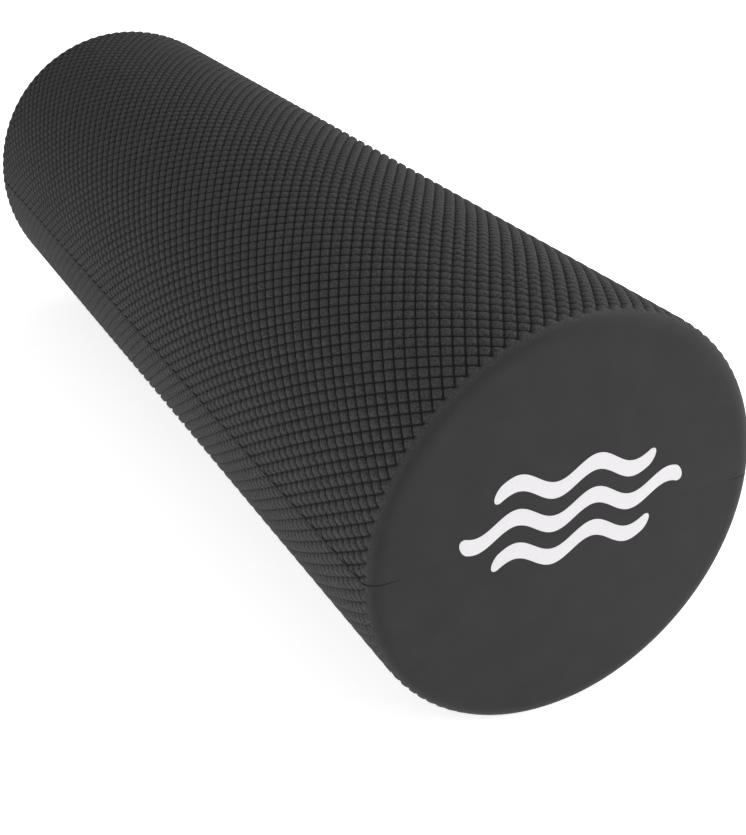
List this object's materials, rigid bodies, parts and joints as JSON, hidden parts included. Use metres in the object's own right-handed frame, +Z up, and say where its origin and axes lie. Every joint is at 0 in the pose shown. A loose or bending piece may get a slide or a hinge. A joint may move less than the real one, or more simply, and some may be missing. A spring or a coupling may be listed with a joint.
{
  "type": "foam roller",
  "caption": "Round high-density foam roller with a fine lozenge texture around the barrel, a lengthwise parting line, rounded lips and flat ends.",
  "frame": {"origin": "on the floor, under the middle of the roller", "axes": "+Y along the roller's axis, from the printed end to the plain end; +Z up, at right angles to the level joint between the two mouldings"},
  "size_m": [0.15, 0.4506, 0.1498],
  "materials": {
    "foam": "matte moulded EVA foam skin, charcoal black",
    "adhesive": "cured contact adhesive",
    "ink": "white screen-printed ink"
  },
  "bodies": {
    "root": {"upper_half": "foam", "lower_half": "foam", "bond_film": "adhesive", "mark_stripe_top": "ink", "mark_stripe_middle": "ink", "mark_stripe_bottom": "ink"}
  },
  "joints": []
}
